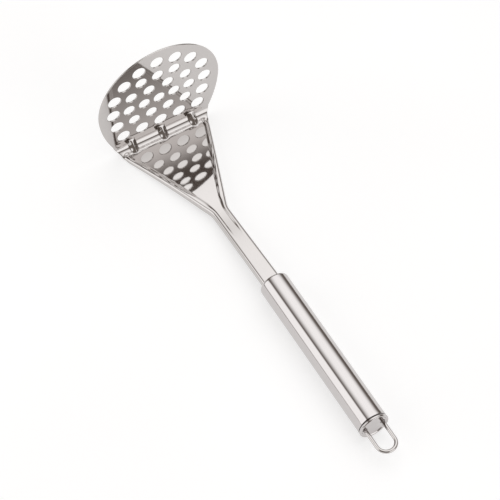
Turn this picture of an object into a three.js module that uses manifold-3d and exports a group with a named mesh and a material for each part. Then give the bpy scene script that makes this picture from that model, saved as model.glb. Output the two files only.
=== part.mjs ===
// Hand masher / ricer: a perforated plate, its bend and its shaft are one steel stamping,
// held in a round tube handle that a wire hanging loop closes.
// Millimetres, +Z up. The tool lies on its back: the plate stands upright at +Y and the
// handle runs toward -Y. The origin is under the middle of the bounding box.
import * as THREE from 'three';
import { mergeVertices } from 'three/addons/utils/BufferGeometryUtils.js';
import Module from 'manifold-3d';

// ---- driving dimensions ----
const sheet = 1.0;              // gauge of the stamped steel
const plateRadius = 42.3;       // mashing plate, upper arc
const plateCentre = 40.0;       // height of that arc's centre
const plateSideRadius = 80;     // flatter arc down each side of the plate
const plateSideStart = -5;      // degrees below the horizontal where it takes over
const holePitch = 13.2;         // spacing along the lowest row
const holeRows = 11.4;          // spacing of the rows
const lowestRow = 15.8;         // height of the lowest row
const outerHole = 8.6;          // diameter, 16 holes round the rim
const innerHole = 7.5;          // diameter, 16 holes inside
const edgeLand = 3.0;           // least sheet between a hole and the plate's edge
const bendRadius = 5.8;         // inside radius between plate and panel
const bendTurn = 81;            // degrees that the sheet turns there
const bendTop = 8.2;            // height at which the plate's flat begins
const panelInset = 3.14;        // the sheet narrows this much a side round the bend
const panelTaper = 0.36;        // half width lost per millimetre toward the handle
const panelCrown = 0.00122;     // fall of the panel's slope
const trayStart = 57;           // distance from the plate where the tray starts to run out
const trayEnd = 82;             // and where it has run out
const rimWidth = 3.9;           // raised rim beside the tray at the bend
const rimGrowth = 0.022;        // extra rim width per millimetre
const rimLift = 1.0;            // rim above the panel at the bend
const rimRise = 0.165;          // climb of the rim per millimetre
const rimDepth = 3.4;           // turned-down edge at the bend
const rimDeepening = 0.045;     // extra depth per millimetre
const rimRound = 1.65;          // outer round of the rim at the bend
const shaftFlare = 0.0065;      // half width gained per millimetre toward the handle
const shaftTop = 13.8;          // height of the shaft's top face
const shaftDepth = 4.4;         // depth of its turned-down sides
const neckBlend = 0.7;          // softness of the neck between fan and shaft
const dartPitch = 21.4;         // spacing of the three stiffening darts in the bend
const dartWidth = 7.0;
const dartReach = 1.2;          // how far a dart runs onto the plate and the panel
const tubeRadius = 9.5;
const tubeWall = 0.8;
const tubeAxis = 12.0;          // height of the handle's axis
const tubeFront = 139.6;        // distance from the plate to the tube's mouth
const tubeLength = 112.4;
const mouthRound = 1.8;         // rounded lip at the tube's mouth
const shaftInside = 22;         // length of the shaft that is inside the tube
const plugLength = 8;
const plugWeb = 0.38;           // plug left beside the shaft's lower corners
const capBead = 2.0;            // rim bead at the butt end
const capRecess = 0.7;          // end face below the bead
const capInside = 6;            // spigot length inside the tube
const wire = 2.4;               // hanging loop wire
const loopClearance = 1.55;     // between a leg of the loop and the tube's bore
const loopOut = 21.3;           // from the tube's end to the loop's tip
const loopInside = 9;           // leg length beyond the tube's end
const gap = 0.3;                // clearance between separate pieces

// ---- dependent sizes ----
const deg = Math.PI / 180;
const tubeEnd = tubeFront + tubeLength;
const tubeBore = tubeRadius - tubeWall;
const mouthRadius = tubeRadius - mouthRound;
const plugRadius = mouthRadius - gap;
const slotTop = shaftTop - tubeAxis + gap;
const slotBottom = shaftTop - shaftDepth - tubeAxis - gap;
const slotHalf = Math.sqrt(plugRadius ** 2 - slotBottom ** 2) - plugWeb;
const shaftHalfWidth = slotHalf - gap - shaftFlare * (tubeFront + plugLength - trayEnd);
const bendEnd = bendRadius * (1 - Math.cos(bendTurn * deg));
const bendFloor = bendTop - bendRadius * Math.sin(bendTurn * deg);
const floorSlope = 1 / Math.tan(bendTurn * deg);
const loopSpacing = 2 * (tubeBore - loopClearance - wire / 2);
const overallLength = sheet + tubeEnd + loopOut;
const middle = overallLength / 2 - sheet;

const wasm = await Module();
wasm.setup();

function solidOf(geometry) {
  const plain = geometry.clone();
  plain.deleteAttribute('normal');
  plain.deleteAttribute('uv');
  const merged = mergeVertices(plain, 1e-4);
  return new wasm.Manifold(new wasm.Mesh({
    numProp: 3,
    vertProperties: new Float32Array(merged.attributes.position.array),
    triVerts: new Uint32Array(merged.index.array),
  }));
}

function geometryOf(solid) {
  const mesh = solid.getMesh();
  const geometry = new THREE.BufferGeometry();
  const position = new Float32Array(mesh.vertProperties);
  geometry.setAttribute('position', new THREE.BufferAttribute(position, 3));
  geometry.setIndex([...mesh.triVerts]);
  geometry.computeVertexNormals();
  return geometry;
}

// A closed skin through a row of equal closed outlines, each a list of points that runs
// counter-clockwise seen from the row's far end. The two ends are triangulated flat.
function loft(outlines, flattenFirst, flattenLast) {
  const count = outlines[0].length;
  const positions = [];
  for (const outline of outlines) {
    for (const p of outline) positions.push(p.x, p.y, p.z);
  }
  const index = [];
  for (let row = 0; row + 1 < outlines.length; row += 1) {
    for (let i = 0; i < count; i += 1) {
      const a = row * count + i;
      const b = row * count + ((i + 1) % count);
      index.push(a, a + count, b);
      index.push(b, a + count, b + count);
    }
  }
  const last = (outlines.length - 1) * count;
  for (const [base, flip] of [[0, true], [last, false]]) {
    const outline = outlines[base === 0 ? 0 : outlines.length - 1];
    const flat = outline.map(flip ? flattenFirst : flattenLast);
    const turn = Math.sign(THREE.ShapeUtils.area(flat));
    for (const [a, b, c] of THREE.ShapeUtils.triangulateShape(flat, [])) {
      const same = Math.sign(THREE.ShapeUtils.area([flat[a], flat[b], flat[c]])) === turn;
      if (same !== flip) index.push(base + a, base + c, base + b);
      else index.push(base + a, base + b, base + c);
    }
  }
  const geometry = new THREE.BufferGeometry();
  geometry.setAttribute('position', new THREE.Float32BufferAttribute(positions, 3));
  geometry.setIndex(index);
  return geometry;
}

function smooth(from, to, value) {
  const t = Math.min(1, Math.max(0, (value - from) / (to - from)));
  return t * t * (3 - 2 * t);
}

// ---- mashing plate ----
// The side arc's centre, for the right-hand side.
const sideShift = plateSideRadius - plateRadius;
const sideX = -sideShift * Math.cos(plateSideStart * deg);
const sideZ = plateCentre - sideShift * Math.sin(plateSideStart * deg);

function plateHalfOutline() {
  const points = [];
  for (let i = 0; i <= 24; i += 1) {
    const angle = (90 - (90 - plateSideStart) * (i / 24)) * deg;
    const x = plateRadius * Math.cos(angle);
    const z = plateCentre + plateRadius * Math.sin(angle);
    points.push(new THREE.Vector2(x, z));
  }
  const start = plateSideStart * deg;
  const bottom = Math.asin((bendTop - sideZ) / plateSideRadius);
  for (let i = 1; i <= 8; i += 1) {
    const angle = start + (bottom - start) * (i / 8);
    const x = sideX + plateSideRadius * Math.cos(angle);
    const z = sideZ + plateSideRadius * Math.sin(angle);
    points.push(new THREE.Vector2(x, z));
  }
  return points;
}
const plateFoot = plateHalfOutline().at(-1).x;
const panelHalfWidth = plateFoot - panelInset;

// Hole centres as [column in pitches, row, diameter]; every one off the centre line is
// mirrored. The pattern fills the plate as far as its edge lets it.
const holes = [
  [0, 0, outerHole], [1, 0, outerHole], [2, 0, outerHole],
  [2.29, 1, outerHole], [2.43, 2.1, outerHole], [2.31, 3.2, outerHole],
  [1.75, 4.12, outerHole], [0.95, 4.71, outerHole], [0, 4.93, outerHole],
  [0.455, 1, innerHole], [1.37, 1, innerHole], [1.6, 1.97, innerHole],
  [1.44, 2.94, innerHole], [0.875, 3.81, innerHole], [0, 3.86, innerHole],
  [0, 1.96, innerHole], [0.79, 1.97, innerHole], [0.495, 2.94, innerHole],
];

function holeFits(x, z, diameter) {
  const toArc = plateRadius - Math.hypot(x, z - plateCentre);
  const toSide = plateSideRadius - Math.hypot(x - sideX, z - sideZ);
  const low = z - plateCentre < x * Math.tan(plateSideStart * deg);
  return (low ? toSide : toArc) - diameter / 2 >= edgeLand;
}

function plateShape() {
  const half = plateHalfOutline();
  const left = half.slice(1).map((p) => new THREE.Vector2(-p.x, p.y));
  const right = half.slice(1).reverse();
  const shape = new THREE.Shape([half[0], ...left, ...right]);
  for (const [column, row, diameter] of holes) {
    const x = column * holePitch;
    const z = lowestRow + row * holeRows;
    if (!holeFits(x, z, diameter)) continue;
    for (const side of column === 0 ? [0] : [-1, 1]) {
      const hole = new THREE.Path();
      hole.absarc(side * x, z, diameter / 2, 0, 2 * Math.PI, true);
      shape.holes.push(hole);
    }
  }
  return shape;
}

const plate = new THREE.ExtrudeGeometry(plateShape(), {
  depth: sheet,
  curveSegments: 9,
  bevelEnabled: false,
});
plate.rotateX(Math.PI / 2);
plate.translate(0, sheet, 0);

// ---- bend, fan panel and shaft: one lofted sheet ----
// s is the distance from the plate's inner face toward the handle.
function halfWidth(s) {
  const fan = panelHalfWidth - panelTaper * (s - bendEnd);
  const shaft = shaftHalfWidth + shaftFlare * Math.max(0, s - trayEnd);
  return shaft + neckBlend * Math.log(1 + Math.exp((fan - shaft) / neckBlend));
}

function panelFloor(s) {
  const run = Math.min(s, trayStart) - bendEnd;
  const floor = bendFloor + floorSlope * run - panelCrown * run * run;
  return floor + (shaftTop - floor) * smooth(trayStart, trayEnd, s);
}

function rimTop(s) {
  const climb = bendFloor + rimLift + rimRise * (s - bendEnd);
  return shaftTop - neckBlend * Math.log(1 + Math.exp((shaftTop - climb) / neckBlend));
}

function rimBottom(s) {
  const rim = rimDepth + rimDeepening * (s - bendEnd);
  const depth = rim + (shaftDepth - rim) * smooth(trayStart - 6, trayEnd, s);
  return rimTop(s) - depth * smooth(bendEnd - 3, bendEnd + 5, s);
}

// Half of the sheet's section at s, from the centre line outward: the upper face, then
// the lower face back to the centre line.
function halfSection(s) {
  const width = halfWidth(s);
  const floor = panelFloor(s);
  const top = Math.max(rimTop(s), floor);
  const bottom = Math.min(rimBottom(s), floor - sheet - 0.2);
  const round = Math.min(2.1, rimRound + 0.01 * s);
  const rim = Math.min(rimWidth + rimGrowth * s, width * 0.62);
  const wall = width - rim;
  const crest = width - Math.max(round + 0.3, rim * 0.52);
  const upper = [new THREE.Vector2(wall * 0.5, floor), new THREE.Vector2(wall, floor)];
  for (const t of [0.25, 0.5, 0.75, 1]) {
    const z = floor + (top - floor) * smooth(0, 1, t);
    upper.push(new THREE.Vector2(wall + (crest - wall) * t, z));
  }
  for (const angle of [0, 22.5, 45, 67.5, 90]) {
    const x = width - round + round * Math.sin(angle * deg);
    const z = top - round + round * Math.cos(angle * deg);
    upper.push(new THREE.Vector2(x, z));
  }
  upper.push(new THREE.Vector2(width, bottom));
  const lower = upper.map((p, i) => {
    const before = upper[Math.max(0, i - 1)];
    const after = upper[Math.min(upper.length - 1, i + 1)];
    const along = i === 0 ? new THREE.Vector2(1, 0) : after.clone().sub(before).normalize();
    const x = Math.min(p.x + along.y * sheet, width - sheet);
    return new THREE.Vector2(x, i === upper.length - 1 ? p.y : p.y - along.x * sheet);
  });
  return { upper, lower };
}

function outlineOf(section, place) {
  const { upper, lower } = section;
  const loop = [];
  for (const p of upper) loop.push(place(p.x, p.y));
  for (const p of [...lower].reverse()) loop.push(place(p.x, p.y));
  for (const p of lower) loop.push(place(-p.x, p.y));
  for (const p of [...upper].reverse()) loop.push(place(-p.x, p.y));
  return loop;
}

// Flat section of the bend: the panel's points, unrolled to a plain strip.
function stripSection(width, inset) {
  const pattern = halfSection(bendEnd + 6);
  let length = 0;
  const marks = pattern.upper.map((p, i) => {
    length += p.distanceTo(i === 0 ? new THREE.Vector2(0, p.y) : pattern.upper[i - 1]);
    return length;
  });
  const scale = (width - inset) / length;
  const upper = marks.map((mark) => new THREE.Vector2(scale * mark, -inset));
  const lower = upper.map((p) => new THREE.Vector2(p.x, inset - sheet));
  return { upper, lower };
}

const outlines = [];
for (const angle of [-14, 0, 13, 27, 41, 55, 68, bendTurn]) {
  const turn = Math.max(0, angle) * deg;
  const rise = angle < 0 ? 1.4 : 0;
  const share = smooth(0, 1, Math.max(0, angle) / bendTurn);
  const width = plateFoot + (panelHalfWidth - plateFoot) * share;
  const y = -bendRadius * (1 - Math.cos(turn));
  const z = bendTop - bendRadius * Math.sin(turn) + rise;
  const section = stripSection(width, angle < 0 ? 0.2 : 0);
  outlines.push(outlineOf(section, (x, h) => new THREE.Vector3(
    x,
    y - h * Math.cos(turn),
    z + h * Math.sin(turn),
  )));
}
const stations = [];
for (let i = 0; i < 12; i += 1) {
  stations.push(bendEnd + 2 + (trayStart - bendEnd - 2) * (i / 12));
}
for (let i = 0; i <= 10; i += 1) {
  stations.push(trayStart + (trayEnd + 8 - trayStart) * (i / 10));
}
stations.push((trayEnd + tubeFront) / 2, tubeFront - 2, tubeFront + shaftInside);
for (const s of stations) {
  outlines.push(outlineOf(halfSection(s), (x, z) => new THREE.Vector3(x, -s, z)));
}
const lowest = Math.min(...stations.map((s) => halfSection(s).upper.at(-1).y));
const neck = loft(
  outlines,
  (p) => new THREE.Vector2(p.x, p.y),
  (p) => new THREE.Vector2(p.x, p.z),
);

// ---- stiffening darts: the corner is pressed in as a ridge that runs straight from the
// plate to the panel, and the same shape is hollow on the outside ----
function dart(centre, width, outward) {
  const shift = outward * Math.SQRT1_2;
  const radius = bendRadius + sheet / 2;
  const half = width / 2;
  const point = (x, y, z) => new THREE.Vector3(centre + x, y + shift, z - shift);
  const points = [
    point(0, sheet * 0.4, bendTop + dartReach),
    point(0, -bendRadius - dartReach, panelFloor(bendRadius + dartReach) - sheet * 0.4),
  ];
  const index = [];
  const angles = [8, 26, 45, 62, 76];
  for (const angle of angles) {
    const y = -bendRadius + radius * Math.cos(angle * deg);
    const z = bendTop - radius * Math.sin(angle * deg);
    points.push(point(-half, y, z), point(half, y, z));
  }
  index.push(0, 3, 2);
  for (let i = 0; i + 1 < angles.length; i += 1) {
    const a = 2 + 2 * i;
    index.push(0, a, a + 2, 0, a + 3, a + 1, a, a + 1, a + 2, a + 1, a + 3, a + 2);
  }
  const last = 2 * angles.length;
  index.push(0, last, 1, 0, 1, last + 1, last, last + 1, 1);
  const geometry = new THREE.BufferGeometry();
  geometry.setFromPoints(points);
  geometry.setIndex(index);
  return geometry;
}

let headSolid = solidOf(plate).add(solidOf(neck));
for (const side of [-1, 0, 1]) {
  headSolid = headSolid.add(solidOf(dart(side * dartPitch, dartWidth, 0)));
}
for (const side of [-1, 0, 1]) {
  const hollow = dart(side * dartPitch, dartWidth - 2 * sheet, sheet * 1.15);
  headSolid = headSolid.subtract(solidOf(hollow));
}

// ---- handle tube ----
const tubeProfile = [new THREE.Vector2(tubeBore, tubeLength)];
tubeProfile.push(new THREE.Vector2(tubeRadius, tubeLength));
for (let i = 0; i <= 5; i += 1) {
  const angle = (i / 5) * 90 * deg;
  const r = mouthRadius + mouthRound * Math.cos(angle);
  tubeProfile.push(new THREE.Vector2(r, mouthRound - mouthRound * Math.sin(angle)));
}
const lipInner = mouthRound - tubeWall;
for (let i = 5; i >= 0; i -= 1) {
  const angle = (i / 5) * 90 * deg;
  const r = mouthRadius + lipInner * Math.cos(angle);
  tubeProfile.push(new THREE.Vector2(r, mouthRound - lipInner * Math.sin(angle)));
}
tubeProfile.push(tubeProfile[0].clone());
const tube = new THREE.LatheGeometry(tubeProfile.reverse(), 48);

// ---- plug in the tube's mouth, with a slot for the shaft ----
const plugProfile = [
  new THREE.Vector2(0, 0.25),
  new THREE.Vector2(plugRadius - 0.5, 0.25),
  new THREE.Vector2(plugRadius, 0.75),
  new THREE.Vector2(plugRadius, plugLength),
  new THREE.Vector2(0, plugLength),
];
const plugBody = new THREE.LatheGeometry(plugProfile, 40);
const slotShape = new THREE.Shape();
slotShape.moveTo(-slotHalf, slotBottom);
slotShape.lineTo(slotHalf, slotBottom);
slotShape.lineTo(slotHalf, slotTop - 1.4);
slotShape.lineTo(slotHalf - 0.4, slotTop - 0.4);
slotShape.lineTo(slotHalf - 1.4, slotTop);
slotShape.lineTo(-slotHalf + 1.4, slotTop);
slotShape.lineTo(-slotHalf + 0.4, slotTop - 0.4);
slotShape.lineTo(-slotHalf, slotTop - 1.4);
const slot = new THREE.ExtrudeGeometry(slotShape, { depth: plugLength + 4, bevelEnabled: false });
slot.rotateX(Math.PI / 2);
slot.translate(0, plugLength + 2, 0);

// ---- end cap: spigot, rim bead and a recessed end face ----
const spigot = tubeBore - gap;
const beadOut = tubeRadius + 0.15;
const beadIn = tubeRadius - 1.5;
const capProfile = [new THREE.Vector2(0, -capInside), new THREE.Vector2(spigot, -capInside)];
capProfile.push(new THREE.Vector2(spigot, gap));
for (let i = 0; i <= 8; i += 1) {
  const angle = (-90 + (i / 8) * 180) * deg;
  const half = capBead / 2;
  const r = beadOut - half * 0.75 + half * 0.75 * Math.cos(angle);
  capProfile.push(new THREE.Vector2(r, gap + half + half * Math.sin(angle)));
}
capProfile.push(new THREE.Vector2(beadIn + 0.35, gap + capBead - 0.15));
capProfile.push(new THREE.Vector2(beadIn, gap + capBead - capRecess));
capProfile.push(new THREE.Vector2(0, gap + capBead - capRecess));
const capBody = new THREE.LatheGeometry(capProfile, 48);
let capSolid = solidOf(capBody);
for (const side of [-1, 1]) {
  const bore = new THREE.CylinderGeometry(wire / 2 + gap, wire / 2 + gap, 30, 20);
  bore.translate(side * loopSpacing / 2, 0, 0);
  capSolid = capSolid.subtract(solidOf(bore));
}

// ---- hanging loop ----
const loopRadius = loopSpacing / 2;
const tip = loopOut - wire / 2;
const shoulder = tip - loopRadius;
const arcPoints = [];
for (let i = 0; i <= 24; i += 1) {
  const angle = Math.PI - Math.PI * (i / 24);
  const x = loopRadius * Math.cos(angle);
  arcPoints.push(new THREE.Vector3(x, shoulder + loopRadius * Math.sin(angle), 0));
}

// Round wire along the path: a ring of points at each path point, square to it.
function wireGeometry(points, diameter, sides) {
  const rings = points.map((p, i) => {
    const before = points[Math.max(0, i - 1)];
    const after = points[Math.min(points.length - 1, i + 1)];
    const along = after.clone().sub(before).normalize();
    const across = new THREE.Vector3(along.y, -along.x, 0);
    const ring = [];
    for (let k = 0; k < sides; k += 1) {
      const angle = (k / sides) * 2 * Math.PI;
      const q = p.clone().addScaledVector(across, Math.cos(angle) * diameter / 2);
      q.z += Math.sin(angle) * diameter / 2;
      ring.push(q);
    }
    return ring;
  });
  const flat = (p) => new THREE.Vector2(p.x, p.z);
  return loft(rings, flat, flat);
}
const loopPoints = [
  new THREE.Vector3(-loopRadius, -loopInside, 0),
  ...arcPoints,
  new THREE.Vector3(loopRadius, -loopInside, 0),
];
const loop = wireGeometry(loopPoints, wire, 14);

// ---- scene ----
function steel(color, roughness) {
  return new THREE.MeshStandardMaterial({ color, roughness, metalness: 1 });
}

function named(name, geometry, material) {
  const mesh = new THREE.Mesh(geometry, material);
  mesh.name = name;
  return mesh;
}

const masher = new THREE.Group();
masher.position.set(0, middle, -lowest);
masher.add(named('masher_head', geometryOf(headSolid), steel(0xd8d2ce, 0.12)));

const handle = new THREE.Group();
handle.position.set(0, -tubeFront, tubeAxis);
handle.rotation.z = Math.PI;
handle.add(named('handle_tube', tube, steel(0xd9d4d2, 0.16)));
const plug = geometryOf(solidOf(plugBody).subtract(solidOf(slot)));
handle.add(named('mouth_plug', plug, steel(0xb9b3b0, 0.3)));
masher.add(handle);

const butt = new THREE.Group();
butt.position.set(0, -tubeEnd, tubeAxis);
butt.rotation.z = Math.PI;
butt.add(named('end_cap', geometryOf(capSolid), steel(0xc9c4c4, 0.15)));
butt.add(named('hanging_loop', loop, steel(0xd6d0ce, 0.12)));
masher.add(butt);

export default masher;
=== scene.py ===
import math

import bmesh
import bpy
import numpy as np
from mathutils import Matrix, Vector
from mathutils.geometry import delaunay_2d_cdt


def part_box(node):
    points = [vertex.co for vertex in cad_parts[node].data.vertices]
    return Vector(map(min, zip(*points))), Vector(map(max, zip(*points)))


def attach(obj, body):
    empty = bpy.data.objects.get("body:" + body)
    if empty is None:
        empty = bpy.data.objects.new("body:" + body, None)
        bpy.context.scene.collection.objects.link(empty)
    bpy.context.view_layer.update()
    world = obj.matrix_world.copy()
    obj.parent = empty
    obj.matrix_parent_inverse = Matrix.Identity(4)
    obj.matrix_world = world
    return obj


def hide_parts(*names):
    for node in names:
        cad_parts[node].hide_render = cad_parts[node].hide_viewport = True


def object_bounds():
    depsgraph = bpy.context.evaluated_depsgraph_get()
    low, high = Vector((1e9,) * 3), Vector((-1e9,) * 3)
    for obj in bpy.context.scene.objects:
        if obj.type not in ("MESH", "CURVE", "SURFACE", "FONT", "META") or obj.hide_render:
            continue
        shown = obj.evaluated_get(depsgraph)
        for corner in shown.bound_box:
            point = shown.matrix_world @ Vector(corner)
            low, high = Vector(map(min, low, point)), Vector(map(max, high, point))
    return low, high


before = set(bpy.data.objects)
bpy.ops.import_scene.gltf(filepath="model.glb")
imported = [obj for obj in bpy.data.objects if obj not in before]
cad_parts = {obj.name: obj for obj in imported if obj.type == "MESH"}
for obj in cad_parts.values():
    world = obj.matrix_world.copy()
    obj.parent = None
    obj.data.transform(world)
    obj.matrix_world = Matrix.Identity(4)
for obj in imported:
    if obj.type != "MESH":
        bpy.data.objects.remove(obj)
CAD_BOX = [list(corner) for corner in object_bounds()]

bl_info = {
    "name": "Steel hand masher",
    "version": (1, 0, 0),
    "blender": (4, 5, 0),
    "location": "3D View > Sidebar > Masher",
    "description": "Builds a pressed steel hand masher with a tube handle and a hanging loop",
    "category": "Add Mesh",
}

MM = 0.001
FLAT, ROUND, SHEET = 0, 1, 2  # patches of a mesh; a flat one keeps sharp borders
HEAD_LOW, HEAD_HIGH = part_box("masher_head")
TUBE_LOW, TUBE_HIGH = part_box("handle_tube")
CAP_LOW, CAP_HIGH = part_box("end_cap")
LOOP_LOW, LOOP_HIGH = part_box("hanging_loop")


# ---- properties: the sizes and colours that a user would change ----

def linear(code):
    """Turns an sRGB hex colour into three linear values."""
    parts = [int(code[i:i + 2], 16) / 255 for i in (0, 2, 4)]
    return tuple(c / 12.92 if c <= 0.04045 else ((c + 0.055) / 1.055) ** 2.4 for c in parts)


def length(name, value, text):
    """A length property whose default is given in millimetres."""
    return bpy.props.FloatProperty(
        name=name, description=text, default=value * MM, unit="LENGTH", precision=5
    )


def angle(name, degrees, text):
    """An angle property whose default is given in degrees."""
    return bpy.props.FloatProperty(
        name=name, description=text, default=math.radians(degrees), unit="ROTATION"
    )


def number(name, value, text):
    """A plain ratio or count."""
    return bpy.props.FloatProperty(name=name, description=text, default=value, precision=5)


def colour(name, code, text):
    """A colour property whose default is an sRGB hex value."""
    return bpy.props.FloatVectorProperty(
        name=name, description=text, subtype="COLOR", size=3, min=0, max=1,
        default=linear(code),
    )


class PlateSizes(bpy.types.PropertyGroup):
    """The mashing plate and its holes."""

    gauge: length("Gauge", 1.0, "Thickness of the pressed sheet")
    radius: length("Radius", 42.3, "Upper arc of the plate")
    centre: length("Centre height", 40.0, "Height of that arc's centre")
    side_radius: length("Side radius", 80.0, "Flatter arc down each side")
    side_start: angle("Side start", -5.0, "Where the flatter arc takes over")
    pitch: length("Hole pitch", 13.2, "Spacing along the lowest row")
    rows: length("Row pitch", 11.4, "Spacing of the rows")
    lowest: length("Lowest row", 15.8, "Height of the lowest row")
    outer: length("Outer holes", 8.6, "Diameter round the rim")
    inner: length("Inner holes", 7.5, "Diameter inside")
    hem: length("Edge round", 0.3, "Round left on a cut edge by tumbling")


class NeckSizes(bpy.types.PropertyGroup):
    """The bend, the fan panel with its rims, and the shaft."""

    bend_radius: length("Bend radius", 5.8, "Inside radius between plate and panel")
    bend_turn: angle("Bend turn", 81.0, "How far the sheet turns there")
    bend_top: length("Bend top", 8.2, "Height at which the plate's flat begins")
    inset: length("Panel inset", 3.14, "The sheet narrows this much a side round the bend")
    taper: number("Panel taper", 0.367, "Half width lost per unit of length")
    crown: number("Panel crown", 1.22, "Fall of the panel's slope, per metre")
    tray_start: length("Tray start", 73.0, "Where the tray begins to run out")
    tray_end: length("Tray end", 95.0, "Where the tray has run out")
    rim: length("Rim width", 3.9, "Raised rim at the bend")
    rim_growth: number("Rim growth", 0.022, "Extra rim width per unit of length")
    rim_lift: length("Rim lift", 0.8, "Rim above the panel at the bend")
    rim_rise: number("Rim rise", 0.08, "Climb of the rim per unit of length")
    rim_least: length("Least rim", 0.4, "The rim stands at least this far above the tray")
    rim_depth: length("Rim depth", 2.75, "Turned-down edge at the bend")
    rim_deepening: number("Rim deepening", 0.02, "Extra depth per unit of length")
    rim_round: length("Rim round", 1.65, "Outer round of the rim at the bend")
    shaft: length("Shaft half width", 5.7, "Half width at the neck")
    shaft_start: length("Shaft start", 82.0, "Where the neck has become the shaft")
    side_start: length("Side start", 51.0, "Where the edge begins to take the shaft's depth")
    shaft_flare: number("Shaft flare", 0.0065, "Half width gained toward the handle")
    shaft_top: length("Shaft top", 13.0, "Height of the shaft's flat top")
    shaft_depth: length("Shaft depth", 4.4, "Depth of its turned-down sides")
    shaft_rise: number("Shaft rise", 0.062, "Climb of the shaft from the neck to the tube")
    neck: length("Neck softness", 0.35, "Softness of the neck between fan and shaft")
    inside: length("Shaft inside", 22.0, "Length inside the tube")
    dart_pitch: length("Dart pitch", 21.4, "Spacing of the three stiffening darts")
    dart_width: length("Dart width", 5.5, "Width of a dart at its foot")
    dart_reach: length("Dart reach", 1.2, "How far a dart runs onto plate and panel")
    climb: length("Climb softness", 4.0, "Softness of both ends of the tray's run-out")
    lip: length("Bend lip", 0.7, "Step from the bend's lower edge down to the tray's floor")


class HandleSizes(bpy.types.PropertyGroup):
    """The tube, the plug in its mouth, the end cap and the hanging loop."""

    wall: length("Tube wall", 0.8, "Wall of the drawn tube")
    mouth_round: length("Mouth round", 1.8, "Rounded lip at the mouth")
    butt_round: length("Butt round", 0.25, "Broken edge at the butt")
    gap: length("Clearance", 0.3, "Clearance between separate pieces")
    plug: length("Plug length", 8.0, "Plug in the mouth")
    bead: length("Cap bead", 2.0, "Rim bead at the butt")
    recess: length("Cap recess", 0.7, "End face below the bead")
    spigot: length("Spigot", 6.0, "Part of the cap inside the tube")
    wire: length("Wire", 2.4, "Diameter of the hanging loop's wire")
    legs: length("Leg spacing", 11.9, "Between the centres of the loop's legs")
    leg_inside: length("Leg inside", 9.0, "Leg length beyond the tube's end")


class FinishColours(bpy.types.PropertyGroup):
    """Colours of the four steel finishes, of the table and of the room."""

    pressed: colour("Pressed sheet", "C6C2C0", "Buffed stainless sheet")
    drawn: colour("Drawn tube", "C8C4C3", "Polished drawn tube")
    turned: colour("Turned plug", "A9A5A4", "Plain turned stainless")
    wire: colour("Wire", "C6C2C0", "Drawn and buffed wire")
    table: colour("Table", "BCBCBC", "Backlit white acrylic table")
    room: colour("Room", "7C746E", "Plain walls round the stage")


GROUPS = {
    "masher_plate": PlateSizes,
    "masher_neck": NeckSizes,
    "masher_handle": HandleSizes,
    "masher_finish": FinishColours,
}


# ---- numpy surfaces ----

def smooth(start, end, value):
    """A smooth step from 0 to 1 while value goes from start to end."""
    t = np.clip((value - start) / (end - start), 0, 1)
    return t * t * (3 - 2 * t)


def soft_plus(value, softness):
    """max(0, value) with its corner rounded over the given softness."""
    return softness * np.logaddexp(0, value / softness)


def grid_quads(rows, columns, closed):
    """Quads between neighbouring rows of a grid, whose rows may close on themselves."""
    last = columns if closed else columns - 1
    r = np.arange(rows - 1)[:, None] * columns
    c = np.arange(last)[None, :]
    n = (np.arange(last)[None, :] + 1) % columns
    quads = np.stack([r + c, r + n, r + columns + n, r + columns + c], axis=-1)
    return quads.reshape(-1, 4)


def make_mesh(name, parts, merge=1e-6):
    """Joins parts, each (points, faces, patch number), into one closed mesh.

    Points closer than merge become one, faces are turned outward, and an edge between
    a FLAT patch and any other patch stays sharp, so that flats mirror flat."""
    points = []
    faces = []
    patches = []
    base = 0
    for part_points, part_faces, patch in parts:
        points.append(np.asarray(part_points, dtype=float))
        faces.extend([[int(i) + base for i in face] for face in part_faces])
        patches.extend([patch] * len(part_faces))
        base += len(part_points)
    mesh = bpy.data.meshes.new(name)
    mesh.from_pydata(np.concatenate(points).tolist(), [], faces)
    tag = mesh.attributes.new("patch", "INT", "FACE")
    tag.data.foreach_set("value", patches)
    solid = bmesh.new()
    solid.from_mesh(mesh)
    bmesh.ops.remove_doubles(solid, verts=solid.verts, dist=merge)
    bmesh.ops.dissolve_degenerate(solid, edges=solid.edges, dist=merge * 0.1)
    bmesh.ops.recalc_face_normals(solid, faces=solid.faces)
    if solid.calc_volume(signed=True) < 0:
        bmesh.ops.reverse_faces(solid, faces=solid.faces)
    open_edges = [e for e in solid.edges if len(e.link_faces) != 2]
    if open_edges:
        raise RuntimeError(f"{name} has {len(open_edges)} open edges")
    layer = solid.faces.layers.int["patch"]
    for face in solid.faces:
        face.smooth = True
    for edge in solid.edges:
        a, b = (face[layer] for face in edge.link_faces)
        edge.smooth = a == b or FLAT not in (a, b)
    solid.to_mesh(mesh)
    solid.free()
    mesh.attributes.remove(mesh.attributes["patch"])
    return mesh


def add_piece(name, mesh, finish, node):
    """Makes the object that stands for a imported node, with its finish."""
    piece = bpy.data.objects.new(name, mesh)
    bpy.context.scene.collection.objects.link(piece)
    mesh.materials.append(finish)
    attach(piece, "root")
    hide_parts(node)
    return piece


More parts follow.
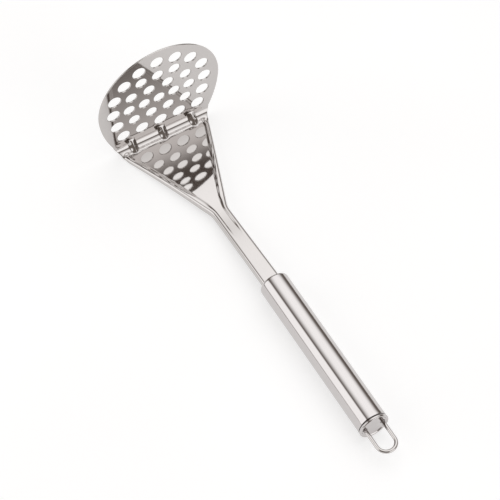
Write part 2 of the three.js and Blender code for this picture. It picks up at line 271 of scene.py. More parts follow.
def flat_region(loops, holes, seeds):
    """Triangles of a flat region bounded by one outer loop, less round holes.

    loops are arrays of 2-D points, the first one outside; holes are (x, z, radius) rows,
    each the circle of a loop, and what lies inside one is dropped; seeds are loose points
    that keep the triangles even. A ring of chords lies just inside its circle, so a
    triangle counts as outside a hole from a slightly smaller radius on."""
    inside = 0.9965
    points = []
    edges = []
    for loop in loops:
        base = len(points)
        points.extend(Vector(p) for p in loop)
        edges.extend((base + i, base + (i + 1) % len(loop)) for i in range(len(loop)))
    points.extend(Vector(p) for p in seeds)
    result = delaunay_2d_cdt(points, edges, [], 1, 1e-9)
    flat = np.array([tuple(p) for p in result[0]])
    triangles = np.array(result[2])
    middle = flat[triangles].mean(axis=1)
    keep = np.ones(len(triangles), dtype=bool)
    for x, z, radius in holes:
        keep &= np.hypot(middle[:, 0] - x, middle[:, 1] - z) > radius * inside
    return flat, triangles[keep]


def hem_profile(hem, thickness, steps=8):
    """A cut edge: half an ellipse that bulges by hem across the sheet's thickness."""
    turn = np.linspace(0, math.pi, steps + 1)
    return hem * np.sin(turn), -thickness * (1 - np.cos(turn)) / 2


def lathe(profile, sides, axis, start, direction):
    """Turns a closed profile of (radius, along) points round an axis parallel to Y.

    axis gives the axis' x and z, start its y, and direction +1 or -1 along Y."""
    radius, along = np.asarray(profile).T
    turn = np.linspace(0, 2 * math.pi, sides, endpoint=False)[:, None]
    x = axis[0] + radius[None, :] * np.cos(turn)
    z = axis[1] + radius[None, :] * np.sin(turn)
    y = np.broadcast_to(start + direction * along, x.shape)
    points = np.stack([x, y, z], axis=-1).reshape(-1, 3)
    closed = np.concatenate([points, points[: len(radius)]])
    return closed, grid_quads(sides + 1, len(radius), True)


# ---- the pressed head ----

HOLE_PATTERN = [
    # column in pitches, row, whether it belongs to the outer ring
    (0, 0, True), (1, 0, True), (2, 0, True), (2.29, 1, True), (2.43, 2.1, True),
    (2.31, 3.2, True), (1.75, 4.12, True), (0.95, 4.71, True), (0, 4.93, True),
    (0.455, 1, False), (1.37, 1, False), (1.6, 1.97, False), (1.44, 2.94, False),
    (0.875, 3.81, False), (0, 3.86, False), (0, 1.96, False), (0.79, 1.97, False),
    (0.495, 2.94, False),
]


def hole_table(plate):
    """Centre and radius of every hole; each one off the centre line has a mirror twin."""
    rows = []
    for column, row, outer in HOLE_PATTERN:
        radius = (plate.outer if outer else plate.inner) / 2
        height = plate.lowest + row * plate.rows
        for side in (-1, 1) if column else (1,):
            rows.append((side * column * plate.pitch, height, radius))
    return rows


def side_arc(plate):
    """Centre of the flatter arc on the right-hand side of the plate."""
    shift = plate.side_radius - plate.radius
    x = -shift * math.cos(plate.side_start)
    z = plate.centre - shift * math.sin(plate.side_start)
    return x, z


def plate_half_width(plate, height):
    """Half width of the plate at a height on its lower, flatter arc."""
    x, z = side_arc(plate)
    return x + math.sqrt(plate.side_radius ** 2 - (height - z) ** 2)


def plate_outline(plate, foot):
    """The plate's edge from its right foot over the top to its left foot.

    Two arcs a side that share a tangent, as points and as outward directions."""
    x, z = side_arc(plate)
    low = math.asin((foot - z) / plate.side_radius)
    side = np.linspace(low, plate.side_start, 25)[:-1]
    top = np.linspace(plate.side_start, math.pi / 2, 56)
    right = np.concatenate([
        np.stack([x + plate.side_radius * np.cos(side), z + plate.side_radius * np.sin(side)], 1),
        np.stack([plate.radius * np.cos(top), plate.centre + plate.radius * np.sin(top)], 1),
    ])
    turn = np.concatenate([side, top])
    out = np.stack([np.cos(turn), np.sin(turn)], axis=1)
    out[0] = (1, 0)
    mirror = np.array([-1, 1])
    return (
        np.concatenate([right, right[-2::-1] * mirror]),
        np.concatenate([out, out[-2::-1] * mirror]),
    )


class NeckSurface:
    """The sheet from the plate's foot to the end of the shaft, one section per row.

    s is the distance from the plate's inner face toward the handle. A row has a place,
    the direction in which heights are measured, and a section. In the bend the section
    is a flat strip; past it, it turns smoothly into the panel's rim section."""

    fine_run = 12 * MM  # closely spaced rows past the bend
    past_tray = 6 * MM  # medium rows end this far past the tray
    lean_run = 10 * MM  # in which the rows' normals turn upright
    lip_run = 1.8 * MM  # in which the bend's lip steps down
    fold_start, fold_end = -2.5 * MM, 6 * MM  # the strip turns into the rim section
    mouth_softness = 3 * MM
    round_most = 2.1 * MM  # largest outer round of a rim
    round_growth = 0.01
    rim_share = 0.62  # a rim is at most this share of the half width
    crest_share = 0.52  # of the rim's width, from its outer edge to its crest
    crest_flat = 0.3 * MM
    below_sheet = 0.2 * MM  # a turned-down edge ends at least this far under the sheet
    dart_range = 8 * MM  # no dart runs past this
    ridge_round = 0.003
    foot_round = 0.03
    floor_columns = 66
    rise_columns = 12
    round_columns = 10
    wall_columns = 5
    hem_columns = 7

    def __init__(self, plate, neck, tube_front):
        self.plate = plate
        self.neck = neck
        self.bend_end = neck.bend_radius * (1 - math.cos(neck.bend_turn))
        self.bend_floor = neck.bend_top - neck.bend_radius * math.sin(neck.bend_turn)
        self.slope = 1 / math.tan(neck.bend_turn)
        self.foot = neck.bend_top + neck.dart_reach + 0.4 * MM
        self.panel = plate_half_width(plate, neck.bend_top) - neck.inset
        self.mouth = tube_front
        self.place_rows(tube_front)

    def place_rows(self, tube_front):
        """Rows: a few on the plate, an arc round the bend, then even steps along s."""
        neck = self.neck
        height = np.linspace(self.foot, neck.bend_top, 7)[:-1]
        turn = np.linspace(0, neck.bend_turn, 34)
        fine_end = self.bend_end + self.fine_run
        medium_end = neck.tray_end + self.past_tray
        run = np.concatenate([
            np.linspace(self.bend_end, fine_end, 21)[1:],
            np.linspace(fine_end, medium_end, 62)[1:],
            np.linspace(medium_end, tube_front + neck.inside, 12)[1:],
        ])
        arc_s = neck.bend_radius * (1 - np.cos(turn))
        arc_z = neck.bend_top - neck.bend_radius * np.sin(turn)
        self.s = np.concatenate([0 * height, arc_s, run])
        arc_z = arc_z + neck.lip * smooth(0, neck.bend_turn, turn)
        step = neck.lip * (1 - smooth(self.bend_end, self.bend_end + self.lip_run, run))
        self.z = np.concatenate([height, arc_z, self.floor(run) + step])
        lean = neck.bend_turn + (math.pi / 2 - neck.bend_turn) * smooth(
            self.bend_end, self.bend_end + self.lean_run, run)
        self.lean = np.concatenate([0 * height, turn, lean])
        self.path = np.concatenate([
            neck.bend_top - height - neck.bend_turn * neck.bend_radius,
            (turn - neck.bend_turn) * neck.bend_radius,
            run - self.bend_end,
        ])
        share = smooth(0, neck.bend_turn, turn)
        foot_width = plate_half_width(self.plate, neck.bend_top)
        plate_width = [plate_half_width(self.plate, h) for h in height]
        strip = foot_width + (self.panel - foot_width) * share
        self.width = np.concatenate([plate_width, strip, self.half_width(run)])

    def half_width(self, s):
        """A straight taper that runs softly into the shaft's own, slightly flaring width."""
        neck = self.neck
        fan = self.panel - neck.taper * (s - self.bend_end)
        shaft = neck.shaft + neck.shaft_flare * np.maximum(0, s - neck.shaft_start)
        return shaft + soft_plus(fan - shaft, neck.neck)

    def shaft_line(self, s):
        """Height of the shaft's top: a gentle straight climb that ends at the tube's mouth."""
        rest = soft_plus(self.mouth - s, self.mouth_softness)
        return self.neck.shaft_top - self.neck.shaft_rise * rest

    def floor(self, s):
        """The tray's floor: a slightly crowned ramp, then a soft straight rise to the top."""
        neck = self.neck
        run = np.minimum(s, neck.tray_start) - self.bend_end
        floor = self.bend_floor + self.slope * run - neck.crown * run * run
        span = neck.tray_end - neck.tray_start
        climb = soft_plus(s - neck.tray_start, neck.climb) - soft_plus(s - neck.tray_end, neck.climb)
        run_end = neck.tray_start - self.bend_end
        high = self.bend_floor + self.slope * run_end - neck.crown * run_end ** 2
        return floor + (self.shaft_line(s) - high) * climb / span

    def section(self, s):
        """Half a rim section per row: floor, rise, crest, outer round and turned-down wall.

        Returns x and height above the floor, from the centre line outward."""
        neck = self.neck
        s = np.maximum(s, self.bend_end + 1 * MM)[:, None]
        floor = self.floor(s)
        width = self.half_width(s)
        climb = self.bend_floor + neck.rim_lift + neck.rim_rise * (s - self.bend_end)
        line = self.shaft_line(s)
        top = line - soft_plus(line - climb, neck.neck)
        least = neck.rim_least * (1 - smooth(neck.tray_start, neck.tray_end, s))
        top = np.maximum(top - floor, least)
        depth = neck.rim_depth + neck.rim_deepening * (s - self.bend_end)
        depth = depth + (neck.shaft_depth - depth) * smooth(neck.side_start, neck.shaft_start, s)
        bottom = np.minimum(top - depth, -self.plate.gauge - self.below_sheet) + self.plate.hem
        radius = np.minimum(self.round_most, neck.rim_round + self.round_growth * s)
        rim = np.minimum(neck.rim + neck.rim_growth * s, self.rim_share * width)
        wall = width - rim
        crest = width - np.maximum(radius + self.crest_flat, self.crest_share * rim)
        q = np.linspace(0, 1, self.floor_columns)[None, :]
        t = np.linspace(0, 1, self.rise_columns)[None, 1:]
        a = np.linspace(0, math.pi / 2, self.round_columns)[None, :]
        w = np.linspace(0, 1, self.wall_columns)[None, 1:]
        x = np.concatenate([
            wall * q,
            wall + (crest - wall) * t,
            width - radius + radius * np.sin(a),
            np.broadcast_to(width, (len(s), w.shape[1])),
        ], axis=1)
        h = np.concatenate([
            0 * q * s,
            top * smooth(0, 1, t),
            top - radius + radius * np.cos(a),
            (top - radius) + (bottom - top + radius) * w,
        ], axis=1)
        return x, h

    def darts(self, x):
        """Height of the three pressed darts over the inner face, zero away from them.

        Each is a tent whose ridge is a straight line from the plate to the panel; a
        row's height is its distance to that line along the row's own normal."""
        neck = self.neck
        reach = neck.dart_reach
        start = np.array([0.0, neck.bend_top + reach])
        end_s = neck.bend_radius + reach
        end = np.array([end_s, float(self.floor(np.array(end_s)))])
        along = (end - start) / np.hypot(*(end - start))
        square = np.array([along[1], -along[0]])
        normal = np.stack([np.cos(self.lean), np.sin(self.lean)], axis=1)
        place = np.stack([self.s, self.z], axis=1)
        height = ((start - place) @ square) / (normal @ square)
        near = self.path < self.dart_range
        height = np.where(near, np.clip(height, 0, None), 0)[:, None]
        rise = np.zeros_like(x)
        for side in (-1, 0, 1):
            off = np.abs(x - side * neck.dart_pitch) / (neck.dart_width / 2)
            tent = 1 - np.sqrt(off * off + self.ridge_round)
            rise = np.maximum(rise, soft_plus(tent, self.foot_round))
        return height * np.where(rise > 0.004, rise, 0)

    def surface(self):
        """All rows of closed sections: inner face, right edge, outer face, left edge."""
        half_x, half_h = self.section(self.s)
        pattern_x, pattern_h = self.section(np.array([self.bend_end + self.fold_end]))
        steps = np.hypot(np.diff(pattern_x[0]), np.diff(pattern_h[0]))
        mark = np.concatenate([[0], np.cumsum(steps)])
        strip = (self.width - self.plate.hem)[:, None] * (mark / mark[-1])[None, :]
        fold = smooth(self.fold_start, self.fold_end, self.path)[:, None]
        half_x = strip + (half_x - strip) * fold
        half_h = half_h * fold
        x = np.concatenate([-half_x[:, :0:-1], half_x], axis=1)
        h = np.concatenate([half_h[:, :0:-1], half_h], axis=1)
        dx = np.gradient(x, axis=1)
        dh = np.gradient(h, axis=1)
        size = np.hypot(dx, dh)
        low_x = x + dh / size * self.plate.gauge
        low_h = h - dx / size * self.plate.gauge
        bump = self.darts(x)
        out, _ = hem_profile(self.plate.hem, self.plate.gauge, self.hem_columns + 1)
        turn = np.linspace(0, math.pi, self.hem_columns + 2)[1:-1]
        share = ((1 - np.cos(turn)) / 2)[None, :]
        right_x = x[:, -1:] + (low_x - x)[:, -1:] * share + (dx / size)[:, -1:] * out[1:-1]
        right_h = h[:, -1:] + (low_h - h)[:, -1:] * share + (dh / size)[:, -1:] * out[1:-1]
        loop_x = np.concatenate([x, right_x, low_x[:, ::-1], -right_x[:, ::-1]], axis=1)
        loop_h = np.concatenate([
            h + bump, right_h, (low_h + bump)[:, ::-1], right_h[:, ::-1],
        ], axis=1)
        y = -self.s[:, None] - np.cos(self.lean)[:, None] * loop_h
        z = self.z[:, None] + np.sin(self.lean)[:, None] * loop_h
        self.columns = x.shape[1]
        self.first_row = x[0]
        return np.stack([loop_x, y, z], axis=-1)

    def end_faces(self, total):
        """Closes the last row between its two faces, and each cut edge with one polygon."""
        m = self.columns
        k = self.hem_columns
        row = total - (2 * m + 2 * k)
        top = row + np.arange(m)
        low = row + m + k + np.arange(m)[::-1]
        strip = np.stack([top[:-1], top[1:], low[1:], low[:-1]], axis=1).tolist()
        right = [top[-1], *(row + m + np.arange(k)), low[-1]]
        left = [low[0], *(row + 2 * m + k + np.arange(k)), top[0]]
        return strip + [right, left]


def plate_parts(plate, surface):
    """Both faces of the plate with the cut edges of its outline and of its holes."""
    holes = hole_table(plate)
    edge, out = plate_outline(plate, surface.foot)
    inner = edge - out * plate.hem
    row = np.stack([surface.first_row, np.full(surface.columns, surface.foot)], axis=1)
    inner[0] = row[-1]
    inner[-1] = row[0]
    turn = np.linspace(0, 2 * math.pi, 48, endpoint=False)
    ring = np.stack([np.cos(turn), np.sin(turn)], axis=1)
    loops = [np.concatenate([inner, row[1:-1]])]
    for x, z, radius in holes:
        loops.append(ring * (radius + plate.hem) + (x, z))
    rims = [(x, z, radius + plate.hem) for x, z, radius in holes]
    flat, triangles = flat_region(loops, rims, plate_seeds(plate, holes, surface.foot))
    front = np.stack([flat[:, 0], np.zeros(len(flat)), flat[:, 1]], axis=1)
    parts = [(front, triangles, FLAT), (front + (0, plate.gauge, 0), triangles, FLAT)]
    bulge, depth = hem_profile(plate.hem, plate.gauge)
    for x, z, radius in holes:
        reach = radius + plate.hem - bulge
        px = x + ring[:, :1] * reach
        pz = z + ring[:, 1:] * reach
        py = np.broadcast_to(-depth, px.shape)
        points = np.stack([px, py, pz], axis=-1).reshape(-1, 3)
        points = np.concatenate([points, points[: len(bulge)]])
        parts.append((points, grid_quads(len(ring) + 1, len(bulge), False), ROUND))
    px = inner[:, :1] + out[:, :1] * bulge
    pz = inner[:, 1:] + out[:, 1:] * bulge
    py = np.broadcast_to(-depth, px.shape)
    points = np.stack([px, py, pz], axis=-1).reshape(-1, 3)
    parts.append((points, grid_quads(len(inner), len(bulge), False), ROUND))
    return parts


def plate_seeds(plate, holes, foot):
    """A triangular lattice of loose points that stay clear of every edge."""
    step = 2.6 * MM
    margin = 1.3 * MM
    grid_x, grid_z = np.meshgrid(np.arange(-18, 19) * step, np.arange(0, 37) * step * 0.87)
    grid_x = grid_x + (np.arange(37)[:, None] % 2) * step / 2
    x = grid_x.ravel()
    z = grid_z.ravel() + foot + margin
    side_x, side_z = side_arc(plate)
    low = z - plate.centre < np.abs(x) * math.tan(plate.side_start)
    to_side = plate.side_radius - np.hypot(np.abs(x) - side_x, z - side_z)
    to_arc = plate.radius - np.hypot(x, z - plate.centre)
    keep = np.where(low, to_side, to_arc) > margin
    for hole_x, hole_z, radius in holes:
        keep &= np.hypot(x - hole_x, z - hole_z) > radius + margin
    return np.stack([x, z], axis=1)[keep]


def head_drop(plate):
    """How far the head, drawn from its own zero, is lowered to stand in the frame."""
    return plate.centre + plate.radius - HEAD_HIGH.z


def mouth_distance(plate):
    """From the plate's inner face to the tube's mouth."""
    return HEAD_HIGH.y - plate.gauge - TUBE_HIGH.y


def head_mesh(plate, neck):
    """The whole pressed head as one closed sheet, placed in the frame."""
    face = HEAD_HIGH.y - plate.gauge
    drop = head_drop(plate)
    surface = NeckSurface(plate, neck, mouth_distance(plate))
    grid = surface.surface()
    rows, columns = grid.shape[:2]
    points = grid.reshape(-1, 3)
    quads = grid_quads(rows, columns, True).tolist() + surface.end_faces(len(points))
    parts = [(points, quads, SHEET)] + plate_parts(plate, surface)
    moved = [(np.asarray(p) + (0, face, -drop), f, patch) for p, f, patch in parts]
    return make_mesh("masher_head_sheet", moved)


# ---- the handle ----

def handle_axis():
    """The x and z of the tube's axis."""
    middle = (TUBE_LOW + TUBE_HIGH) / 2
    return middle.x, middle.z


def arc_points(centre, radius, start, end, steps):
    """Points of (radius, along) on an arc, its angles in degrees from the radius axis."""
    turn = np.radians(np.linspace(start, end, steps))
    return np.stack([centre[0] + radius * np.cos(turn), centre[1] + radius * np.sin(turn)], 1)


def tube_mesh(handle):
    """A drawn tube: straight wall, lip rolled in at the mouth, broken edge at the butt."""
    radius = (TUBE_HIGH.x - TUBE_LOW.x) / 2
    total = TUBE_HIGH.y - TUBE_LOW.y
    lip = handle.mouth_round
    bore = radius - handle.wall
    edge = handle.butt_round
    bore_edge = 0.1 * MM
    outer = np.linspace(lip, total - edge, 40)[1:-1]
    profile = np.concatenate([
        arc_points((radius - lip, lip), lip, -90, 0, 14),
        np.stack([np.full(len(outer), radius), outer], axis=1),
        arc_points((radius - edge, total - edge), edge, 0, 90, 5),
        arc_points((bore + bore_edge, total - bore_edge), bore_edge, 90, 180, 3),
        arc_points((radius - lip, lip), lip - handle.wall, 0, -90, 10),
    ])
    points, quads = lathe(profile, 144, handle_axis(), TUBE_HIGH.y, -1)
    return make_mesh("handle_tube_drawn", [(points, quads, ROUND)])


def plug_mesh(handle, plate, neck):
    """A turned plug whose slot lets the shaft through: rings between slot and circle.

    The slot is a superellipse: the higher its power, the squarer its corners."""
    axis_x, axis_z = handle_axis()
    radius = (TUBE_HIGH.x - TUBE_LOW.x) / 2 - handle.mouth_round - handle.gap
    slot_top = neck.shaft_top - head_drop(plate) - axis_z + handle.gap
    slot_low = slot_top - neck.shaft_depth - 2 * handle.gap
    flared = mouth_distance(plate) + handle.plug - neck.shaft_start
    half_width = neck.shaft + neck.shaft_flare * flared + handle.gap
    power = 5
    edge = 0.5 * MM
    setback = 0.25 * MM
    turn = np.linspace(0, 2 * math.pi, 120, endpoint=False)
    middle = (slot_top + slot_low) / 2
    half_height = (slot_top - slot_low) / 2
    cos, sin = np.cos(turn), np.sin(turn)
    reach = (np.abs(cos / half_width) ** power + np.abs(sin / half_height) ** power) ** (-1 / power)
    slot = np.stack([reach * cos, middle + reach * sin], axis=1)
    circle = np.stack([cos, sin], axis=1)
    rings = [slot + (circle * (radius - edge) - slot) * share for share in (0, 0.35, 0.7, 1)]
    along = [setback] * 4
    for a in np.radians(np.linspace(0, 90, 6))[1:]:
        rings.append(circle * (radius - edge + edge * math.sin(a)))
        along.append(setback + edge * (1 - math.cos(a)))
    rings += [circle * radius, slot]
    along += [handle.plug, handle.plug]
    grid = np.stack([
        np.stack([axis_x + ring[:, 0], np.full(len(turn), TUBE_HIGH.y - y), axis_z + ring[:, 1]], 1)
        for ring, y in zip(rings, along)
    ], axis=1)
    points = np.concatenate([grid.reshape(-1, 3), grid[0]])
    quads = grid_quads(len(turn) + 1, len(rings), True)
    return make_mesh("mouth_plug_turned", [(points, quads, ROUND)])


def cap_mesh(handle):
    """The end cap: a spigot, a round rim bead and a recessed face with two leg bores."""
    axis_x, axis_z = handle_axis()
    tube_radius = (TUBE_HIGH.x - TUBE_LOW.x) / 2
    spigot = tube_radius - handle.wall - handle.gap
    bead_out = (CAP_HIGH.x - CAP_LOW.x) / 2
    bead_width = 1.5 * MM
    bead_in = tube_radius - bead_width
    half = handle.bead / 2
    floor = handle.gap + handle.bead - handle.recess
    edge = 0.4 * MM
    bore_round = 0.25 * MM
    sides = 144
    wide = 0.75 * half  # the bead is a little narrower than it is tall
    bead = np.radians(np.linspace(-90, 90, 19))
    bead_points = np.stack([
        bead_out - wide + wide * np.cos(bead),
        handle.gap + half + half * np.sin(bead),
    ], axis=1)
    profile = np.concatenate([
        [(spigot - edge, -handle.spigot)],
        arc_points((spigot - edge, edge - handle.spigot), edge, -90, 0, 5)[1:],
        [(spigot, handle.gap - 0.1 * MM)],
        bead_points,
        [(bead_in + 0.75 * MM, handle.gap + handle.bead - 0.05 * MM)],
        [(bead_in + 0.3 * MM, handle.gap + handle.bead - 0.2 * MM)],
        [(bead_in + 0.05 * MM, floor + 0.2 * MM), (bead_in - 0.2 * MM, floor)],
    ])
    turn = np.linspace(0, 2 * math.pi, sides, endpoint=False)
    circle = np.stack([np.cos(turn), np.sin(turn)], axis=1)
    bore = handle.wire / 2 + 0.3 * MM
    holes = [(side * handle.legs / 2, 0, bore) for side in (-1, 1)]
    ring = circle[::3]
    start = TUBE_LOW.y
    parts = []
    radius, along = profile.T
    grid = np.stack([
        axis_x + circle[:, :1] * radius,
        np.broadcast_to(start - along, (sides, len(radius))),
        axis_z + circle[:, 1:] * radius,
    ], axis=-1).reshape(-1, 3)
    grid = np.concatenate([grid, grid[: len(radius)]])
    parts.append((grid, grid_quads(sides + 1, len(radius), False), ROUND))
    for reach, y in ((radius[0], start - along[0]), (radius[-1], start - along[-1])):
        loops = [circle * reach]
        loops += [ring * (r + bore_round) + (x, z) for x, z, r in holes]
        rims = [(x, z, r + bore_round) for x, z, r in holes]
        flat, triangles = flat_region(loops, rims, np.zeros((0, 2)))
        points = np.stack([axis_x + flat[:, 0], np.full(len(flat), y), axis_z + flat[:, 1]], 1)
        parts.append((points, triangles, FLAT))
    depth = along[-1] - along[0]
    arc = np.linspace(0, math.pi / 2, 5)
    inner = bore_round * (1 - np.sin(arc))
    down = bore_round * (1 - np.cos(arc))
    reach = bore + np.concatenate([inner, inner[::-1]])
    down = np.concatenate([down, depth - down[::-1]])
    for x, z, _ in holes:
        points = np.stack([
            axis_x + x + ring[:, :1] * reach,
            np.broadcast_to(start - along[-1] + down, (len(ring), len(reach))),
            axis_z + z + ring[:, 1:] * reach,
        ], axis=-1).reshape(-1, 3)
        points = np.concatenate([points, points[: len(reach)]])
        parts.append((points, grid_quads(len(ring) + 1, len(reach), False), ROUND))
    return make_mesh("end_cap_turned", parts)


def loop_mesh(handle):
    """A round wire swept along a U: two straight legs and a half circle."""
    axis_x, axis_z = handle_axis()
    radius = handle.legs / 2
    tip = TUBE_LOW.y - LOOP_LOW.y - handle.wire / 2
    shoulder = tip - radius
    leg = np.linspace(-handle.leg_inside, shoulder, 30)[:-1]
    turn = np.linspace(math.pi, 0, 73)
    x = np.concatenate([np.full(len(leg), -radius), radius * np.cos(turn), np.full(len(leg), radius)])
    y = np.concatenate([leg, shoulder + radius * np.sin(turn), leg[::-1]])
    path = np.stack([x, y], axis=1)
    along = np.gradient(path, axis=0)
    along /= np.hypot(along[:, 0], along[:, 1])[:, None]
    across = np.stack([along[:, 1], -along[:, 0]], axis=1)
    ring = np.linspace(0, 2 * math.pi, 28, endpoint=False)
    half = handle.wire / 2
    round_off = 0.2 * MM
    taper = np.full(len(path), half)
    taper[[0, -1]] = half - round_off
    px = path[:, :1] + across[:, :1] * taper[:, None] * np.cos(ring)
    py = path[:, 1:] + across[:, 1:] * taper[:, None] * np.cos(ring)
    pz = taper[:, None] * np.sin(ring) * np.ones_like(px)
    points = np.stack([axis_x + px, TUBE_LOW.y - py, axis_z + pz], axis=-1).reshape(-1, 3)
    faces = grid_quads(len(path), len(ring), True).tolist()
    last = len(points) - len(ring)
    faces.append(list(range(len(ring))))
    faces.append([last + i for i in range(len(ring))])
    return make_mesh("hanging_loop_wire", [(points, faces, ROUND)])


# ---- materials ----

def add_node(tree, kind, inputs=None, **settings):
    """Adds a node with its settings, values and links, and returns it."""
    node = tree.nodes.new(kind)
    for key, value in settings.items():
        setattr(node, key, value)
    for key, value in (inputs or {}).items():
        if isinstance(value, bpy.types.NodeSocket):
            tree.links.new(value, node.inputs[key])
        else:
            node.inputs[key].default_value = value
    return node


def steel_material(name, base, roughness, wave, wave_size, grain, stretch):
    """Steel whose gloss and level vary a little, as buffing leaves it.

    wave is the height in metres of the slow waves of a pressed sheet, wave_size their
    size, grain how much the fine polishing lines spread the gloss, and stretch how
    much longer than wide those lines are, along x, y and z."""
    made = bpy.data.materials.new(name)
    made.use_nodes = True
    tree = made.node_tree
    tree.nodes.clear()
    where = add_node(tree, "ShaderNodeTexCoord").outputs["Object"]
    lines = add_node(tree, "ShaderNodeMapping", {"Vector": where, "Scale": stretch})
    fine = add_node(tree, "ShaderNodeTexNoise", {
        "Vector": lines.outputs["Vector"], "Scale": 1 / (0.35 * MM), "Detail": 3.0, "Roughness": 0.6,
    })
    cloud = add_node(tree, "ShaderNodeTexNoise", {
        "Vector": where, "Scale": 1 / (14 * MM), "Detail": 2.0,
    })
    mixed = add_node(tree, "ShaderNodeMix", {
        "Factor": 0.65, "A": cloud.outputs["Fac"], "B": fine.outputs["Fac"],
    }, data_type="FLOAT")
    gloss = add_node(tree, "ShaderNodeMapRange", {
        "Value": mixed.outputs["Result"], "From Min": 0.3, "From Max": 0.7,
        "To Min": roughness * (1 - grain), "To Max": roughness * (1 + grain),
    })
    dark = tuple(c * 0.93 for c in base) + (1,)
    light = tuple(min(1, c * 1.05) for c in base) + (1,)
    shade = add_node(tree, "ShaderNodeMix", {
        "Factor": mixed.outputs["Result"], "A": dark, "B": light,
    }, data_type="RGBA")
    slow = add_node(tree, "ShaderNodeTexNoise", {
        "Vector": where, "Scale": 1 / wave_size, "Detail": 1.0,
    })
    waves = add_node(tree, "ShaderNodeBump", {
        "Height": slow.outputs["Fac"], "Distance": wave, "Strength": 1.0,
    })
    scratch = add_node(tree, "ShaderNodeBump", {
        "Height": fine.outputs["Fac"], "Distance": grain * 0.0008 * MM,
        "Strength": 1.0, "Normal": waves.outputs["Normal"],
    })
    shader = add_node(tree, "ShaderNodeBsdfPrincipled", {
        "Metallic": 1.0,
        "Base Color": shade.outputs[2],
        "Roughness": gloss.outputs["Result"],
        "Normal": scratch.outputs["Normal"],
    })
    add_node(tree, "ShaderNodeOutputMaterial", {"Surface": shader.outputs["BSDF"]})
    return made


def pressed_finish(colours):
    """Cold-rolled stainless sheet, pressed and buffed: a mirror with slow waves and faint haze."""
    return steel_material(
        "buffed_stainless_sheet", tuple(colours.pressed), 0.045, 0.02 * MM, 16 * MM, 0.55,
        (1.0, 0.12, 1.0),
    )


def drawn_finish(colours):
    """Drawn stainless tube, belt polished: a bright mirror with lines along the tube."""
    return steel_material(
        "polished_drawn_stainless", tuple(colours.drawn), 0.06, 0.006 * MM, 30 * MM, 0.5,
        (1.0, 0.04, 1.0),
    )


def turned_finish(colours):
    """Plain turned stainless: tool marks in rings spread the gloss into a soft grey."""
    return steel_material(
        "turned_stainless", tuple(colours.turned), 0.28, 0.004 * MM, 5 * MM, 0.3,
        (1.0, 1.0, 1.0),
    )


def wire_finish(colours):
    """Drawn stainless wire, buffed after bending: bright, with faint lines along it."""
    return steel_material(
        "buffed_stainless_wire", tuple(colours.wire), 0.07, 0.003 * MM, 6 * MM, 0.4,
        (1.0, 0.1, 1.0),
    )


def table_finish(colours):
    """White acrylic over a light box: an even matt white that glows softly from below."""
    made = bpy.data.materials.new("white_acrylic_table")
    made.use_nodes = True
    tree = made.node_tree
    tree.nodes.clear()
    where = add_node(tree, "ShaderNodeTexCoord").outputs["Object"]
    cloud = add_node(tree, "ShaderNodeTexNoise", {"Vector": where, "Scale": 6.0, "Detail": 1.0})
    level = add_node(tree, "ShaderNodeMapRange", {
        "Value": cloud.outputs["Fac"], "To Min": 0.58, "To Max": 0.62,
    })
    base = tuple(colours.table) + (1,)
    shader = add_node(tree, "ShaderNodeBsdfPrincipled", {
        "Base Color": base, "Roughness": 0.9, "Emission Color": (1, 1, 1, 1),
        "Emission Strength": level.outputs["Result"],
    })
    add_node(tree, "ShaderNodeOutputMaterial", {"Surface": shader.outputs["BSDF"]})
    return made


# ---- stage ----

VIEW_AZIMUTH = math.radians(-29.548)
VIEW_ELEVATION = math.radians(56.006)
VIEW_ROLL = math.radians(-0.759)
VIEW_DISTANCE = 1332.05 * MM
VIEW_TARGET = Vector((8.055, 36.15, -10.02)) * MM
VIEW_LENS = 155.22
VIEW_SHIFT = (-0.004, -0.0011)
TABLE_RADIUS = 2.5
TABLE_SIDES = 96
BOX_BRIGHTNESS = 1.5
SOFT_BOXES = [
    # tilt toward +X from straight up, lean toward +Y, full out to, gone at, all in degrees
    (20, 14, 13, 51),  # a large one overhead
    (-62, 15, 20, 30),  # one on the left
    (48, -63, 20, 28),  # a small low one behind the handle
]


def soft_box(tree, where, box):
    """A round soft box's share of the light in each direction: 1 inside, fading to 0."""
    tilt, lean, full, gone = (math.radians(degrees) for degrees in box)
    level = math.cos(lean)
    centre = (math.sin(tilt) * level, math.sin(lean), math.cos(tilt) * level)
    toward = add_node(tree, "ShaderNodeVectorMath", {0: where, 1: centre}, operation="DOT_PRODUCT")
    share = add_node(tree, "ShaderNodeMapRange", {
        "Value": toward.outputs["Value"],
        "From Min": math.cos(gone), "From Max": math.cos(full),
    }, interpolation_type="SMOOTHSTEP")
    return share.outputs["Result"]


def make_sky(colours):
    """Plain soft studio light: a few white soft boxes in a dim, plainly painted room."""
    world = bpy.data.worlds.new("studio")
    bpy.context.scene.world = world
    world.use_nodes = True
    tree = world.node_tree
    tree.nodes.clear()
    where = add_node(tree, "ShaderNodeTexCoord").outputs["Generated"]
    share = soft_box(tree, where, SOFT_BOXES[0])
    for box in SOFT_BOXES[1:]:
        other = soft_box(tree, where, box)
        share = add_node(tree, "ShaderNodeMath", {0: share, 1: other}, operation="MAXIMUM").outputs[0]
    room = tuple(c / BOX_BRIGHTNESS for c in colours.room) + (1,)
    both = add_node(tree, "ShaderNodeMix", {
        "Factor": share, "A": room, "B": (1, 1, 1, 1),
    }, data_type="RGBA")
    sky = add_node(tree, "ShaderNodeBackground", {
        "Color": both.outputs[2], "Strength": BOX_BRIGHTNESS,
    })
    add_node(tree, "ShaderNodeOutputWorld", {"Surface": sky.outputs["Background"]})


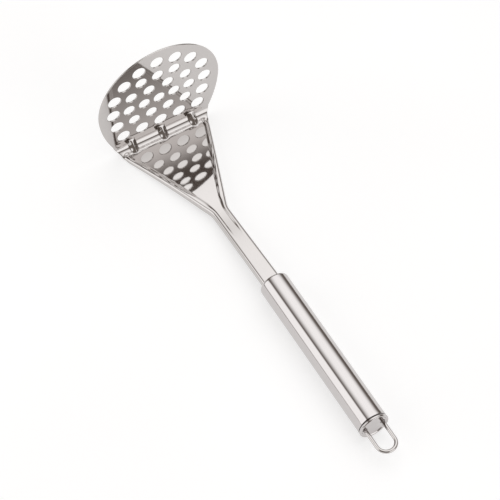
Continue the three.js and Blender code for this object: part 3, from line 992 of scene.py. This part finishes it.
def make_table(colours):
    """A round white table, just under the lowest point of the tool."""
    turn = np.linspace(0, 2 * math.pi, TABLE_SIDES, endpoint=False)
    points = np.stack([
        TABLE_RADIUS * np.cos(turn),
        TABLE_RADIUS * np.sin(turn),
        np.full(TABLE_SIDES, CAD_BOX[0][2]),
    ], axis=1)
    mesh = bpy.data.meshes.new("table")
    mesh.from_pydata(points.tolist(), [], [list(range(TABLE_SIDES))])
    table = bpy.data.objects.new("table", mesh)
    bpy.context.scene.collection.objects.link(table)
    mesh.materials.append(table_finish(colours))


def make_camera():
    """The view from above and left of the handle, down along it toward the plate."""
    flat = math.cos(VIEW_ELEVATION)
    forward = Vector((
        -math.sin(VIEW_AZIMUTH) * flat, math.cos(VIEW_AZIMUTH) * flat, -math.sin(VIEW_ELEVATION),
    ))
    right = Vector((math.cos(VIEW_AZIMUTH), math.sin(VIEW_AZIMUTH), 0))
    up = right.cross(forward)
    turned = right * math.cos(VIEW_ROLL) + up * math.sin(VIEW_ROLL)
    up = up * math.cos(VIEW_ROLL) - right * math.sin(VIEW_ROLL)
    lens = bpy.data.cameras.new("camera")
    lens.lens = VIEW_LENS
    lens.sensor_width = 36.0
    lens.shift_x, lens.shift_y = VIEW_SHIFT
    camera = bpy.data.objects.new("camera", lens)
    bpy.context.scene.collection.objects.link(camera)
    place = Matrix((turned, up, -forward)).transposed().to_4x4()
    place.translation = VIEW_TARGET - forward * VIEW_DISTANCE
    camera.matrix_world = place
    bpy.context.scene.camera = camera


# ---- operators ----

class MASHER_OT_stage(bpy.types.Operator):
    """Makes the table, the studio light and the camera"""

    bl_idname = "masher.stage"
    bl_label = "Stage"

    def execute(self, context):
        make_table(context.scene.masher_finish)
        make_sky(context.scene.masher_finish)
        make_camera()
        context.scene.view_settings.view_transform = "Standard"
        return {"FINISHED"}


class MASHER_OT_head(bpy.types.Operator):
    """Makes the pressed head: plate, bend, fan panel and shaft in one sheet"""

    bl_idname = "masher.head"
    bl_label = "Pressed head"

    def execute(self, context):
        scene = context.scene
        mesh = head_mesh(scene.masher_plate, scene.masher_neck)
        finish = pressed_finish(scene.masher_finish)
        add_piece("pressed_head", mesh, finish, "masher_head")
        return {"FINISHED"}


class MASHER_OT_tube(bpy.types.Operator):
    """Makes the drawn tube handle"""

    bl_idname = "masher.tube"
    bl_label = "Handle tube"

    def execute(self, context):
        scene = context.scene
        mesh = tube_mesh(scene.masher_handle)
        finish = drawn_finish(scene.masher_finish)
        add_piece("drawn_tube", mesh, finish, "handle_tube")
        return {"FINISHED"}


class MASHER_OT_plug(bpy.types.Operator):
    """Makes the plug that closes the tube's mouth round the shaft"""

    bl_idname = "masher.plug"
    bl_label = "Mouth plug"

    def execute(self, context):
        scene = context.scene
        mesh = plug_mesh(scene.masher_handle, scene.masher_plate, scene.masher_neck)
        finish = turned_finish(scene.masher_finish)
        add_piece("turned_plug", mesh, finish, "mouth_plug")
        return {"FINISHED"}


class MASHER_OT_butt(bpy.types.Operator):
    """Makes the end cap and the wire hanging loop"""

    bl_idname = "masher.butt"
    bl_label = "End cap and loop"

    def execute(self, context):
        scene = context.scene
        cap = cap_mesh(scene.masher_handle)
        add_piece("beaded_cap", cap, drawn_finish(scene.masher_finish), "end_cap")
        loop = loop_mesh(scene.masher_handle)
        add_piece("wire_loop", loop, wire_finish(scene.masher_finish), "hanging_loop")
        return {"FINISHED"}


OPERATORS = [MASHER_OT_stage, MASHER_OT_head, MASHER_OT_tube, MASHER_OT_plug, MASHER_OT_butt]


class MASHER_PT_panel(bpy.types.Panel):
    """Lists the masher's sizes, colours and pieces"""

    bl_idname = "MASHER_PT_panel"
    bl_label = "Masher"
    bl_space_type = "VIEW_3D"
    bl_region_type = "UI"
    bl_category = "Masher"

    def draw(self, context):
        for operator in OPERATORS:
            self.layout.operator(operator.bl_idname)
        for group in GROUPS:
            values = getattr(context.scene, group)
            box = self.layout.box()
            for name in values.bl_rna.properties.keys():
                if name not in ("rna_type", "name"):
                    box.prop(values, name)


CLASSES = [*GROUPS.values(), *OPERATORS, MASHER_PT_panel]


def register():
    for item in CLASSES:
        bpy.utils.register_class(item)
    for name, group in GROUPS.items():
        setattr(bpy.types.Scene, name, bpy.props.PointerProperty(type=group))


def unregister():
    for name in GROUPS:
        delattr(bpy.types.Scene, name)
    for item in reversed(CLASSES):
        bpy.utils.unregister_class(item)


def main():
    register()
    bpy.ops.masher.stage()
    bpy.ops.masher.head()
    bpy.ops.masher.tube()
    bpy.ops.masher.plug()
    bpy.ops.masher.butt()


if __name__ == "__main__":
    main()
